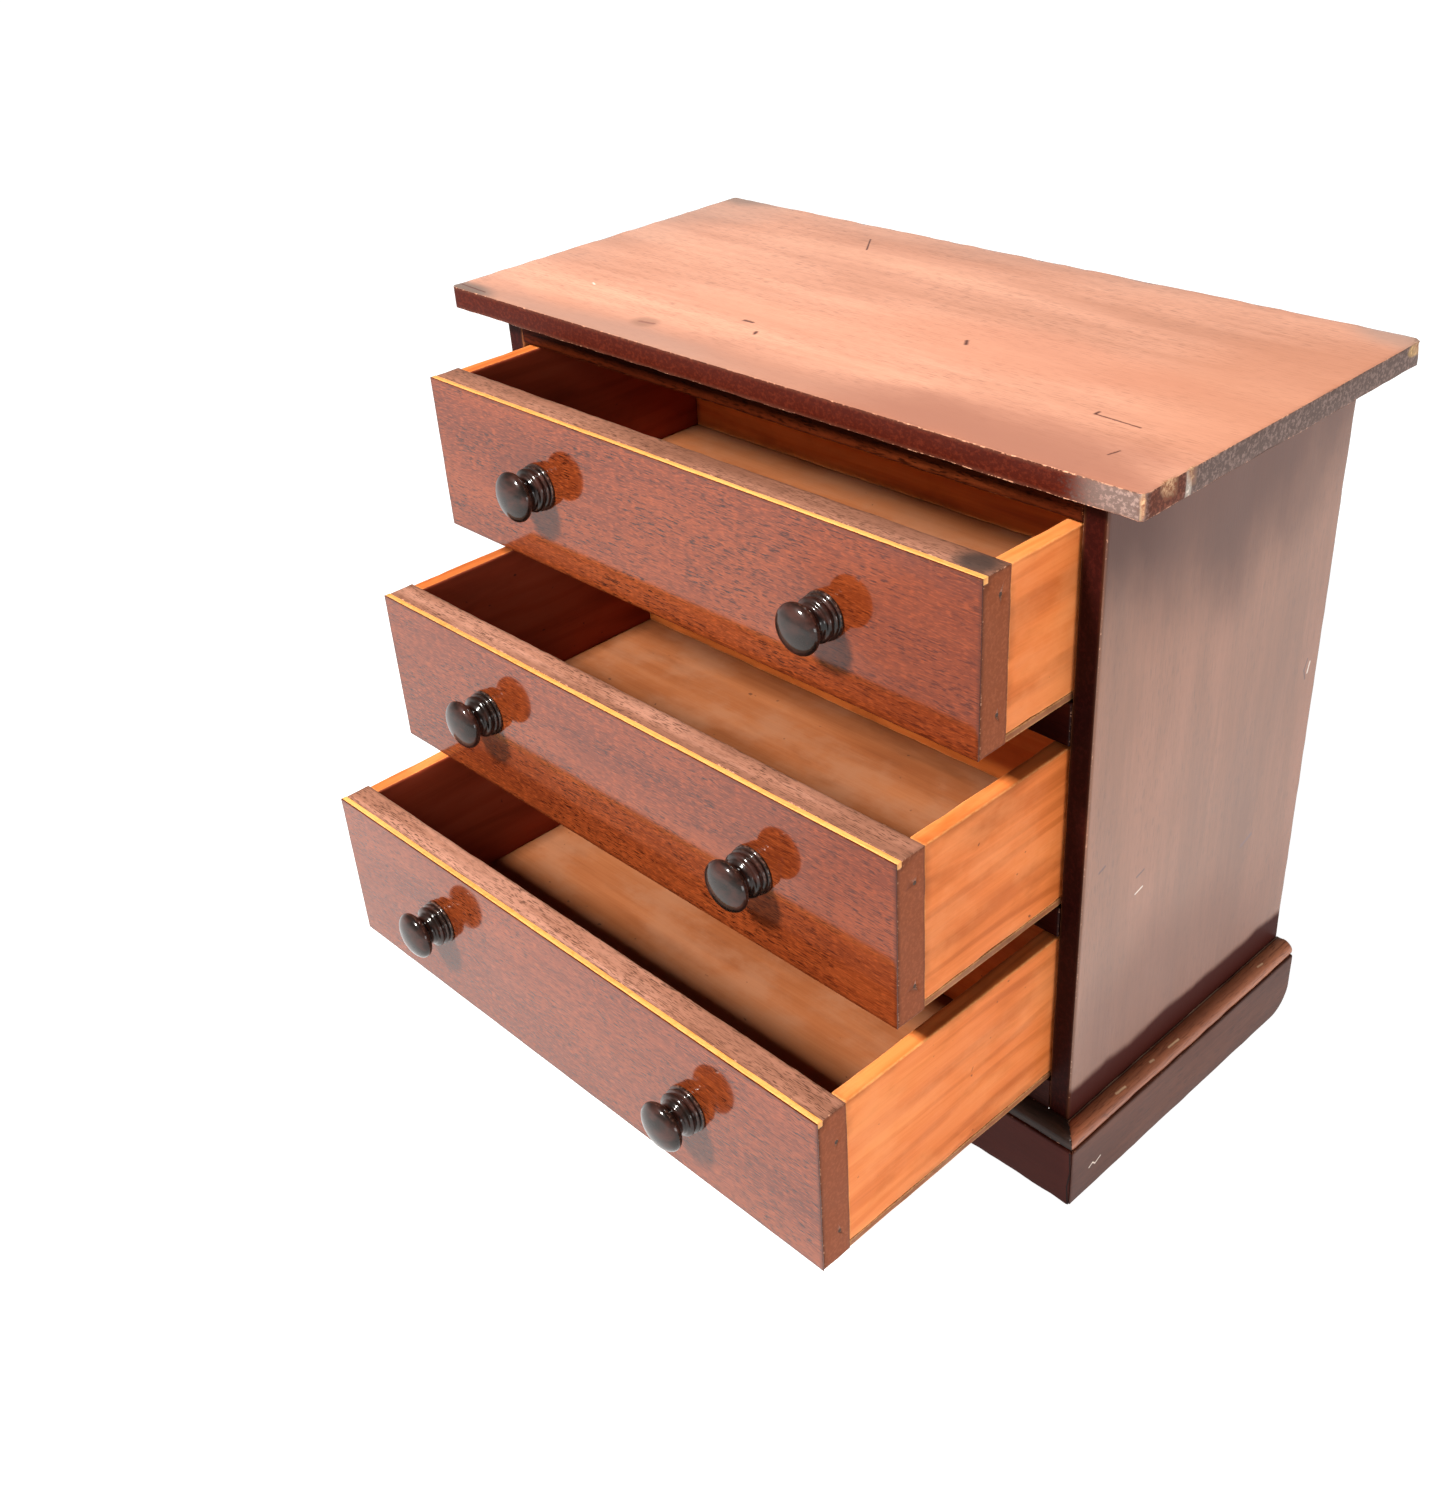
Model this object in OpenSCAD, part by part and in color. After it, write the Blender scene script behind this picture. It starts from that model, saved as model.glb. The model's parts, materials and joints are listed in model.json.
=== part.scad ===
// Miniature mahogany chest of three long drawers.
// Every board, runner, moulding, knob and set of pins is a separate solid.
// Frame: origin at the middle of the front plinth board's underside, on the surface that
// the chest stands on. +Z is up, the drawer fronts face -Y, and +X is on the right of
// someone who faces them.

/* [Carcass] */
// Width of the top board
top_w = 305; // [295:1:320]
// Depth of the top board, front to back
top_d = 148; // [146:0.5:156]
// Thickness of the top board
top_t = 8; // [6:0.5:12]
// Radius of the top board's corners, seen from above
top_corner_r = 2.5; // [1:0.5:6]
// How far the top board stands past the front of the carcass
top_front_overhang = 11; // [8:0.5:11]
// Width of the carcass across its two sides
carcass_w = 270; // [255:1:280]
// Depth of the carcass, front to back
carcass_d = 135; // [134:0.5:136]
// Thickness of each side board
side_t = 8.5; // [7:0.5:12]
// Thickness of the back panel
back_t = 6; // [4:0.5:7]
// Width of the rebate that holds the back panel in each side
back_rebate_w = 4; // [3:0.5:5]

/* [Levels] */
// Height of the bottom board's upper face, where the bottom drawer runs
bottom_level = 43.5; // [42:0.5:45]
// Thickness of the bottom board
bottom_board_t = 13; // [12:0.5:14]
// Thickness of the rail above the bottom drawer
lower_rail_t = 12; // [8:0.5:14]
// Thickness of the rail above the middle drawer
upper_rail_t = 15.5; // [10:0.5:17]
// Front to back depth of those two rails
rail_d = 30; // [20:1:50]
// Height of the rail under the top board
top_rail_h = 11.5; // [8:0.5:14]
// Front to back depth of the rail under the top board
top_rail_d = 22; // [12:1:40]
// Width of each drawer runner
runner_w = 9; // [7:0.5:14]
// Thickness of each drawer runner
runner_t = 5; // [3:0.5:8]

/* [Plinth] */
// Thickness of the plinth boards
plinth_t = 8; // [7.5:0.5:10]
// Height of the plinth boards
plinth_h = 26; // [20:0.5:26]
// Radius of the rounded lower rear corner of the side boards and their plinths
heel_r = 12; // [4:1:18]
// How far the moulding on the plinth stands out from the carcass
moulding_w = 7.2; // [5:0.1:7.4]
// Height of that moulding
moulding_h = 5; // [3:0.5:5]
// Size of the glue blocks inside the plinth
block_size = 11; // [8:1:14]
// Length of the glue blocks inside the plinth
block_len = 26; // [15:1:40]

/* [Drawers] */
// Height of the bottom drawer's front
bottom_drawer_h = 62.5; // [60:0.5:64]
// Height of the middle drawer's front
middle_drawer_h = 60.5; // [58:0.5:62]
// Height of the top drawer's front
top_drawer_h = 57.5; // [55:0.5:60]
// How much higher each opening is than its drawer
opening_gap = 1; // [0.6:0.1:1.5]
// Length of each drawer from its face to its back
drawer_len = 126; // [110:1:127]
// Clearance at each side of a drawer
side_gap = 0.5; // [0.3:0.1:1]
// Clearance under a drawer
under_gap = 0.3; // [0.2:0.1:0.4]
// Thickness of the core of a drawer front
front_core_t = 12; // [9.5:0.5:13]
// Thickness of the veneer on a drawer front
veneer_t = 0.6; // [0.6:0.1:1.5]
// Depth of the pale line let into the top edge of a front, behind the veneer
line_d = 2; // [1:0.1:3]
// Height of that pale line
line_h = 2.2; // [1:0.1:3]
// Thickness of the drawer sides
drawer_side_t = 6; // [5:0.5:7]
// How far each side board is let in from the end of the front
side_inset = 0.5; // [0:0.1:1]
// Thickness of the drawer back
drawer_back_t = 6; // [4:0.5:8]
// Thickness of the drawer bottom
drawer_bottom_t = 2.8; // [2:0.1:4]
// How far the sides and the back end below the top of the front
side_drop = 0.5; // [0:0.1:2]
// How far the bottom drawer stands open
bottom_open = 113; // [0:1:116]
// How far the middle drawer stands open
middle_open = 78; // [0:1:116]
// How far the top drawer stands open
top_open = 43; // [0:1:116]

/* [Knobs] */
// Largest radius of the knob's head
knob_head_r = 9; // [8:0.25:11]
// Largest radius of the ringed base
knob_base_r = 8.5; // [8:0.1:10]
// Radius of the neck
knob_neck_r = 5.4; // [4.5:0.1:6]
// Distance from each end of a front to the middle of its knob
knob_inset = 58.5; // [40:0.5:80]
// Radius of the tenon that is glued into the front
tenon_r = 3.5; // [2.5:0.25:4]
// Length of that tenon
tenon_len = 9; // [6:0.5:9]

/* [Pins] */
// Radius of the iron pins
pin_r = 0.7; // [0.5:0.05:1]
// Length of the pins in the drawers
pin_len = 11; // [8:0.5:12]

/* [Hidden] */
$fn = 48;
eps = 0.01;
// The carcass's front and back planes; the front plinth board straddles y = 0
front_y = plinth_t / 2;
back_y = front_y + carcass_d;
outer_x = carcass_w / 2;
inner_x = outer_x - side_t;
interior_back_y = back_y - back_t;
middle_level = bottom_level + bottom_drawer_h + opening_gap + lower_rail_t;
top_level = middle_level + middle_drawer_h + opening_gap + upper_rail_t;
top_rail_z = top_level + top_drawer_h + opening_gap;
carcass_top_z = top_rail_z + top_rail_h;
bottom_board_z = bottom_level - bottom_board_t;

// Drawers, from the bottom one up: name, floor of its opening, height of its front, how
// far open, then the heights and the relative sizes of its left and right knobs
DRAWERS = [
    ["bottom_drawer", bottom_level, bottom_drawer_h, bottom_open, [34, 30], [1, 1]],
    ["middle_drawer", middle_level, middle_drawer_h, middle_open, [33, 30], [1, 1]],
    ["top_drawer", top_level, top_drawer_h, top_open, [31, 27], [1, 0.95]],
];
function floor_z(drawer) = drawer[1];
function height(drawer) = drawer[2];
function pulled_out(drawer) = drawer[3];
function knob_z(drawer, hand) = drawer[4][hand];
function knob_size(drawer, hand) = drawer[5][hand];
DRAWER_PARTS = ["front", "veneer", "line", "left_side", "right_side", "back", "bottom",
    "left_knob", "right_knob", "pins"];
drawer_w = 2 * (inner_x - side_gap);
front_t = veneer_t + front_core_t;
drawer_side_x = drawer_w / 2 - side_inset;
// Heights of the pins that hold each end of a front and each end of a back
end_pin_z = [12, 50];
// Distances behind a drawer's face of the pins up through its bottom
bottom_pin_y = [26, 68, 110];
// Heights of the pins through the back panel
back_pin_z = [for (share = [0.075, 0.37, 0.67, 0.93])
    bottom_board_z + share * (carcass_top_z - bottom_board_z)];

MAHOGANY = [0.42, 0.16, 0.10];
DARK_MAHOGANY = [0.27, 0.11, 0.09];
VENEER = [0.58, 0.25, 0.16];
PINE = [0.82, 0.50, 0.27];
PALE_PINE = [0.72, 0.46, 0.30];
LINE_WOOD = [0.95, 0.68, 0.35];
EBONISED = [0.13, 0.09, 0.08];
IRON = [0.25, 0.23, 0.22];

// ---- Shared shapes ----

// A plain board between two opposite corners.
module board(low, high) {
    translate(low) cube(high - low);
}

// Points along an arc, for a profile.
function arc(centre, r, from, to, steps) =
    [for (i = [0 : steps])
        let (a = from + (to - from) * i / steps)
        centre + [rx(r) * cos(a), ry(r) * sin(a)]];
function rx(r) = is_list(r) ? r[0] : r;
function ry(r) = is_list(r) ? r[1] : r;

// A round rod from a point, along a unit direction.
module rod(start, direction, length, r = pin_r) {
    translate(start)
        rotate(direction[0] != 0 ? [0, 90 * direction[0], 0]
            : direction[1] != 0 ? [-90 * direction[1], 0, 0] : [0, 0, 0])
        cylinder(r = r, h = length, $fn = 24);
}

// ---- Carcass ----

module top_board() {
    r = top_corner_r;
    half = [top_w / 2 - r, top_d / 2 - r];
    corners = [[1, 1, 0], [-1, 1, 90], [-1, -1, 180], [1, -1, 270]];
    outline = [for (c = corners) each arc([c[0] * half[0], c[1] * half[1]], r, c[2], c[2] + 90, 5)];
    color(MAHOGANY)
        translate([0, front_y - top_front_overhang + top_d / 2, carcass_top_z])
        linear_extrude(top_t) polygon(outline);
}

// An upright board that stands on the ground, with its lower rear corner rounded.
module standing_board(x, thick, front, top) {
    outline = [
        [front, 0],
        each arc([back_y - heel_r, heel_r], heel_r, -90, 0, 8),
        [back_y, top],
        [front, top]
    ];
    translate([x, 0, 0])
        rotate([90, 0, 90])
        linear_extrude(thick) polygon(outline);
}

// One side board with the rebate for the back panel; side is -1 on the left and 1 on the right.
module side_board(side) {
    color(DARK_MAHOGANY)
        difference() {
            mirror([side < 0 ? 1 : 0, 0, 0])
                difference() {
                    standing_board(inner_x, side_t, front_y, carcass_top_z);
                    board([inner_x - eps, interior_back_y, bottom_board_z],
                        [inner_x + back_rebate_w, back_y + eps, carcass_top_z + eps]);
                }
            back_pins();
        }
}

module left_side() { side_board(-1); }
module right_side() { side_board(1); }

module back_panel() {
    reach = inner_x + back_rebate_w;
    color(PALE_PINE)
        difference() {
            board([-reach, interior_back_y, bottom_board_z], [reach, back_y, carcass_top_z]);
            back_pins();
        }
}

// Pins through the back panel into the rebates of the sides.
module back_pins() {
    x = inner_x + back_rebate_w / 2;
    for (side = [-1, 1], z = back_pin_z)
        rod([side * x, back_y, z], [0, -1, 0], back_t + 6);
}

module back_panel_pins() {
    color(IRON) back_pins();
}

// A rail between the sides, with its upper face at the given height.
module rail(top_z, thick, deep) {
    color(MAHOGANY)
        board([-inner_x, front_y, top_z - thick], [inner_x, front_y + deep, top_z]);
}

module top_rail() { rail(carcass_top_z, top_rail_h, top_rail_d); }
module upper_rail() { rail(top_level, upper_rail_t, rail_d); }
module lower_rail() { rail(middle_level, lower_rail_t, rail_d); }

module bottom_board() {
    color(PALE_PINE)
        board([-inner_x, front_y, bottom_board_z], [inner_x, interior_back_y, bottom_level]);
}

// A runner on one side, level with the top of a rail.
module runner(side, level) {
    color(PINE)
        mirror([side < 0 ? 1 : 0, 0, 0])
        board([inner_x - runner_w, front_y + rail_d, level - runner_t],
            [inner_x, interior_back_y, level]);
}

module upper_left_runner() { runner(-1, top_level); }
module upper_right_runner() { runner(1, top_level); }
module lower_left_runner() { runner(-1, middle_level); }
module lower_right_runner() { runner(1, middle_level); }

// ---- Plinth ----

// The plan of the front plinth board, with a mitre at each end.
module front_plan() {
    polygon([[-outer_x - plinth_t, front_y - plinth_t], [outer_x + plinth_t, front_y - plinth_t],
        [outer_x, front_y], [-outer_x, front_y]]);
}

// The plan of the right side plinth board, with a mitre at its front end.
module side_plan() {
    polygon([[outer_x, front_y], [outer_x + plinth_t, front_y - plinth_t],
        [outer_x + plinth_t, back_y], [outer_x, back_y]]);
}

module plinth_front() {
    color(DARK_MAHOGANY)
        linear_extrude(plinth_h) front_plan();
}

module plinth_side(side) {
    color(DARK_MAHOGANY)
        mirror([side < 0 ? 1 : 0, 0, 0])
        intersection() {
            standing_board(outer_x, plinth_t, front_y - plinth_t, plinth_h);
            linear_extrude(plinth_h) side_plan();
        }
}

module plinth_left() { plinth_side(-1); }
module plinth_right() { plinth_side(1); }

// Section of the moulding: out from the carcass, then up from the plinth.
function moulding_section() =
    let (flat = 2.2, lip = 0.8)
    concat(
        [[0, 0], [moulding_w, 0], [moulding_w, lip]],
        arc([flat, lip], [moulding_w - flat, moulding_h - lip], 8, 90, 8),
        [[0, moulding_h]]
    );

// The moulding along the front, before its ends are mitred.
module moulding_front_bar() {
    reach = outer_x + moulding_w;
    toward_front = [for (p = moulding_section()) [-p[0], p[1]]];
    translate([-reach, front_y, plinth_h])
        rotate([90, 0, 90])
        linear_extrude(2 * reach) polygon(toward_front);
}

module moulding_front() {
    color(MAHOGANY)
        intersection() {
            moulding_front_bar();
            linear_extrude(carcass_top_z) front_plan();
        }
}

module moulding_side(side) {
    color(MAHOGANY)
        mirror([side < 0 ? 1 : 0, 0, 0])
        intersection() {
            translate([outer_x, back_y, plinth_h])
                rotate([90, 0, 0])
                linear_extrude(carcass_d + plinth_t)
                polygon(moulding_section());
            linear_extrude(carcass_top_z) side_plan();
        }
}

module moulding_left() { moulding_side(-1); }
module moulding_right() { moulding_side(1); }

// A three-cornered block in the angle between a wall and the bottom board, along X.
module glue_block() {
    rotate([90, 0, 90])
        translate([0, 0, -block_len / 2])
        linear_extrude(block_len)
        polygon([[0, 0], [block_size, 0], [0, -block_size]]);
}

// Blocks behind the front plinth and inside both sides, under the bottom board.
module glue_blocks() {
    along_front = [-0.62, 0, 0.62];
    along_side = [0.28, 0.72];
    color(PINE) {
        for (f = along_front)
            translate([f * inner_x, front_y, bottom_board_z]) glue_block();
        for (side = [-1, 1], f = along_side)
            translate([side * inner_x, front_y + f * carcass_d, bottom_board_z])
            rotate([0, 0, side * 90]) glue_block();
    }
}

// ---- Drawers ----
// Each is built with its face at y = 0, its underside at z = 0 and its middle at x = 0.

// Where a drawer stands, from its row in DRAWERS.
module at_drawer(drawer) {
    translate([0, front_y - pulled_out(drawer), floor_z(drawer) + under_gap]) children();
}

// The middle of a knob; hand is 0 on the left and 1 on the right.
function knob_place(drawer, hand) =
    [(2 * hand - 1) * (drawer_w / 2 - knob_inset), 0, knob_z(drawer, hand)];

module knob_sockets(drawer, depth) {
    for (hand = [0, 1])
        rod(knob_place(drawer, hand), [0, 1, 0], depth, tenon_r);
}

module drawer_front(drawer) {
    half = drawer_w / 2;
    color(DARK_MAHOGANY)
        difference() {
            board([-half, veneer_t, 0], [half, front_t, height(drawer)]);
            board([-half - eps, veneer_t - eps, height(drawer) - line_h],
                [half + eps, veneer_t + line_d, height(drawer) + eps]);
            knob_sockets(drawer, tenon_len);
            drawer_pin_set();
        }
}

module drawer_veneer(drawer) {
    half = drawer_w / 2;
    color(VENEER)
        difference() {
            board([-half, 0, 0], [half, veneer_t, height(drawer)]);
            knob_sockets(drawer, veneer_t + eps);
        }
}

module drawer_line(drawer) {
    half = drawer_w / 2;
    top = height(drawer);
    color(LINE_WOOD)
        board([-half, veneer_t, top - line_h], [half, veneer_t + line_d, top]);
}

module drawer_side(drawer, side) {
    color(PINE)
        difference() {
            mirror([side < 0 ? 1 : 0, 0, 0])
                board([drawer_side_x - drawer_side_t, front_t, drawer_bottom_t],
                    [drawer_side_x, drawer_len, height(drawer) - side_drop]);
            drawer_pin_set();
        }
}

module drawer_back(drawer) {
    half = drawer_side_x - drawer_side_t;
    color(PINE)
        difference() {
            board([-half, drawer_len - drawer_back_t, drawer_bottom_t],
                [half, drawer_len, height(drawer) - side_drop]);
            drawer_pin_set();
        }
}

module drawer_bottom() {
    color(PALE_PINE)
        difference() {
            board([-drawer_side_x, front_t, 0], [drawer_side_x, drawer_len, drawer_bottom_t]);
            drawer_pin_set();
        }
}

// All of one drawer's pins: into the ends of the front, through the sides into the back,
// and up through the bottom into the sides.
module drawer_pin_set() {
    back_y_mid = drawer_len - drawer_back_t / 2;
    front_y_mid = veneer_t + front_core_t * 0.6;
    under_x = drawer_side_x - drawer_side_t / 2;
    for (side = [-1, 1]) {
        for (z = end_pin_z) {
            rod([side * drawer_w / 2, front_y_mid, z], [-side, 0, 0], pin_len);
            rod([side * drawer_side_x, back_y_mid, z], [-side, 0, 0], pin_len);
        }
        for (y = bottom_pin_y)
            rod([side * under_x, y, 0], [0, 0, 1], pin_len);
    }
}

module drawer_pins() {
    color(IRON) drawer_pin_set();
}

// Outline of a knob: distance from its axis, then distance out from the drawer's face.
function knob_outline(size) =
    let (
        base_r = knob_base_r * size,
        head_r = knob_head_r * size,
        neck_r = knob_neck_r * size,
        foot = 1.3,
        bead_r = 0.8,
        bead_out = 2.1,
        shoulder_out = 4.3,
        neck_out = 7.2,
        cove_r = 1.4,
        rim_out = 11.4,
        rim_r = 2.6,
        skirt_h = 2.2,
        dome_h = 3.6
    )
    concat(
        [[0, -tenon_len], [tenon_r, -tenon_len], [tenon_r, 0], [base_r - 0.3, 0]],
        [[base_r, 0.4], [base_r - 0.1, 1.1], [base_r - 0.7, foot]],
        arc([base_r - 1.1, bead_out], bead_r, -60, 70, 5),
        arc([base_r - 2.6, shoulder_out], [2, 1.3], -45, 75, 5),
        arc([neck_r + cove_r, neck_out], cove_r, 250, 180, 4),
        [[neck_r + 0.3, neck_out + 1.2]],
        arc([head_r - rim_r, rim_out], [rim_r, skirt_h], -75, 0, 5),
        arc([0, rim_out], [head_r, dome_h], 12, 90, 9)
    );

module drawer_knob(drawer, hand) {
    color(EBONISED)
        translate(knob_place(drawer, hand))
        rotate([90, 0, 0])
        rotate_extrude() polygon(knob_outline(knob_size(drawer, hand)));
}

// Draws one named piece of a drawer.
module drawer_part(drawer, part) {
    if (part == "front") drawer_front(drawer);
    if (part == "veneer") drawer_veneer(drawer);
    if (part == "line") drawer_line(drawer);
    if (part == "left_side") drawer_side(drawer, -1);
    if (part == "right_side") drawer_side(drawer, 1);
    if (part == "back") drawer_back(drawer);
    if (part == "bottom") drawer_bottom();
    if (part == "left_knob") drawer_knob(drawer, 0);
    if (part == "right_knob") drawer_knob(drawer, 1);
    if (part == "pins") drawer_pins();
}

// ---- The model ----

top_board();
left_side();
right_side();
back_panel();
back_panel_pins();
top_rail();
upper_rail();
lower_rail();
bottom_board();
upper_left_runner();
upper_right_runner();
lower_left_runner();
lower_right_runner();
plinth_front();
plinth_left();
plinth_right();
moulding_front();
moulding_left();
moulding_right();
glue_blocks();
for (drawer = DRAWERS, part = DRAWER_PARTS)
    at_drawer(drawer) drawer_part(drawer, part);
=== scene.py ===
"""Looks of the miniature chest of drawers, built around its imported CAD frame.

Every wooden CAD node is copied, its arrises are rounded and unevenly worn, and the copy
stands for the node. Each copy carries its own grain coordinates, so one wood material
serves boards that lie in any direction.
"""

import json
import math

import bmesh
import bpy
import numpy as np
from mathutils import Matrix, Vector, noise


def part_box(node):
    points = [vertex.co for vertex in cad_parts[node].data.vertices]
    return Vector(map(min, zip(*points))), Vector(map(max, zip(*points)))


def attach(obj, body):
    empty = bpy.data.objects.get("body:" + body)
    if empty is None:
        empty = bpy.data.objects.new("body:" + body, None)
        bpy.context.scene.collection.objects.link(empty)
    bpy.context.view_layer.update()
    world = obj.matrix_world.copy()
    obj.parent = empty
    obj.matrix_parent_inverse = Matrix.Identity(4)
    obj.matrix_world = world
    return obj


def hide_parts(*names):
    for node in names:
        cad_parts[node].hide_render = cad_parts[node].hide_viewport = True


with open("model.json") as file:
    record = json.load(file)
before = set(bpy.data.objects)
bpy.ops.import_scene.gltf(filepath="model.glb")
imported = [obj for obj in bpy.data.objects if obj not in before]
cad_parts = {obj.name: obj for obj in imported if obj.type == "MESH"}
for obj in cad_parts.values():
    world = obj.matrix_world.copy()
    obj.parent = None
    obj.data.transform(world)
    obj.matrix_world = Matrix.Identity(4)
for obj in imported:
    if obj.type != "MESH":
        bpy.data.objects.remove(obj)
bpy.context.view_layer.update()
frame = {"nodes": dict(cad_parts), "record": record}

MM = 0.001
DRAWERS = ("bottom_drawer", "middle_drawer", "top_drawer")
X, Y, Z = 0, 1, 2
# How far apart along the grain the pieces take their figure, in millimetres
GRAIN_STEP = 1000
# And how far apart across it
GRAIN_SHIFT = 370


# ---- Shader building ----

class Shader:
    """Short calls for building one material's nodes."""

    def __init__(self, name):
        self.material = bpy.data.materials.new(name)
        self.material.use_nodes = True
        self.tree = self.material.node_tree
        self.bsdf = self.tree.nodes["Principled BSDF"]

    def node(self, kind, **settings):
        made = self.tree.nodes.new(kind)
        for key, value in settings.items():
            setattr(made, key, value)
        return made

    def feed(self, socket, value):
        if isinstance(value, bpy.types.NodeSocket):
            self.tree.links.new(value, socket)
        elif socket.type == "RGBA" and len(value) == 3:
            socket.default_value = (*value, 1)
        else:
            socket.default_value = value

    def attribute(self, name, output):
        return self.node("ShaderNodeAttribute", attribute_name=name).outputs[output]

    def math(self, operation, a, b=0.0, clamp=False):
        made = self.node("ShaderNodeMath", operation=operation, use_clamp=clamp)
        self.feed(made.inputs[0], a)
        self.feed(made.inputs[1], b)
        return made.outputs[0]

    def vector_math(self, operation, a, b=(0, 0, 0), output="Vector"):
        made = self.node("ShaderNodeVectorMath", operation=operation)
        self.feed(made.inputs[0], a)
        self.feed(made.inputs["Scale" if operation == "SCALE" else 1], b)
        return made.outputs[output]

    def spot(self, place, centre, radii):
        """Distance from an ellipsoid's centre, where 1 is its surface."""
        gap = self.vector_math("SUBTRACT", place, centre)
        return self.vector_math("LENGTH", self.vector_math("DIVIDE", gap, radii), output="Value")

    def stroke(self, place, start, end):
        """Distance in millimetres from a straight scratch."""
        run = Vector(end) - Vector(start)
        gap = self.vector_math("SUBTRACT", place, tuple(start))
        share = self.vector_math("DOT_PRODUCT", gap, tuple(run / run.length_squared), output="Value")
        share = self.math("MAXIMUM", self.math("MINIMUM", share, 1.0), 0.0)
        along = self.vector_math("SCALE", tuple(run), share)
        return self.vector_math("LENGTH", self.vector_math("SUBTRACT", gap, along), output="Value")

    def scaled(self, vector, scale, offset=(0, 0, 0)):
        made = self.node("ShaderNodeMapping")
        self.feed(made.inputs["Vector"], vector)
        made.inputs["Scale"].default_value = scale
        made.inputs["Location"].default_value = offset
        return made.outputs[0]

    def noise(self, vector, size, detail=2.0, roughness=0.5, distortion=0.0, offset=(0, 0, 0)):
        """Noise whose features are about size millimetres along, across and through the grain."""
        made = self.node("ShaderNodeTexNoise")
        self.feed(made.inputs["Vector"], self.scaled(vector, [1 / s for s in size], offset))
        made.inputs["Scale"].default_value = 1.0
        made.inputs["Detail"].default_value = detail
        made.inputs["Roughness"].default_value = roughness
        made.inputs["Distortion"].default_value = distortion
        return made.outputs["Fac"]

    def band(self, value, low, high, out_low=0.0, out_high=1.0):
        """Maps low..high to out_low..out_high with soft, clamped ends."""
        made = self.node("ShaderNodeMapRange", interpolation_type="SMOOTHSTEP")
        self.feed(made.inputs["Value"], value)
        for key, number in zip(("From Min", "From Max", "To Min", "To Max"),
                               (low, high, out_low, out_high)):
            self.feed(made.inputs[key], number)
        return made.outputs["Result"]

    def mix(self, factor, a, b, blend="MIX"):
        made = self.node("ShaderNodeMix", data_type="RGBA", blend_type=blend)
        self.feed(made.inputs["Factor"], factor)
        self.feed(made.inputs[6], a)
        self.feed(made.inputs[7], b)
        return made.outputs[2]

    def ramp(self, value, stops):
        made = self.node("ShaderNodeValToRGB")
        self.feed(made.inputs["Fac"], value)
        elements = made.color_ramp.elements
        while len(elements) < len(stops):
            elements.new(0.5)
        for element, (place, colour) in zip(elements, stops):
            element.position = place
            element.color = (*colour, 1)
        return made.outputs["Color"]

    def bump(self, height, strength, distance_mm):
        made = self.node("ShaderNodeBump")
        made.inputs["Strength"].default_value = strength
        made.inputs["Distance"].default_value = distance_mm * MM
        self.feed(made.inputs["Height"], height)
        self.feed(self.bsdf.inputs["Normal"], made.outputs["Normal"])
        return made

    def polish(self, coat, specular):
        """Sets the coat's weight, roughness and IOR, and the specular level under it."""
        self.bsdf.inputs["Coat Weight"].default_value = coat[0]
        self.bsdf.inputs["Coat Roughness"].default_value = coat[1]
        self.bsdf.inputs["Coat IOR"].default_value = coat[2]
        self.bsdf.inputs["Specular IOR Level"].default_value = specular


RAW_MAHOGANY = (0.58, 0.34, 0.19)
RAW_MAHOGANY_DARK = (0.20, 0.065, 0.03)
RAW_PINE = (0.78, 0.46, 0.20)
WORN_PINE = (0.80, 0.42, 0.15)
PINE_SPOT = (0.06, 0.025, 0.015)
KNOT_HEART = (0.16, 0.05, 0.02)
KNOT_RIM = (0.025, 0.01, 0.006)
RUBBED_EBONY = (0.20, 0.10, 0.07)


def in_grain(place, along, seed):
    """A point of a board, in millimetres, as its grain coordinates."""
    order = {X: (X, Y, Z), Y: (Y, X, Z), Z: (Z, X, Y)}[along]
    return Vector([place[i] for i in order]) + Vector((seed * GRAIN_STEP, seed * GRAIN_SHIFT, 0))


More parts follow.
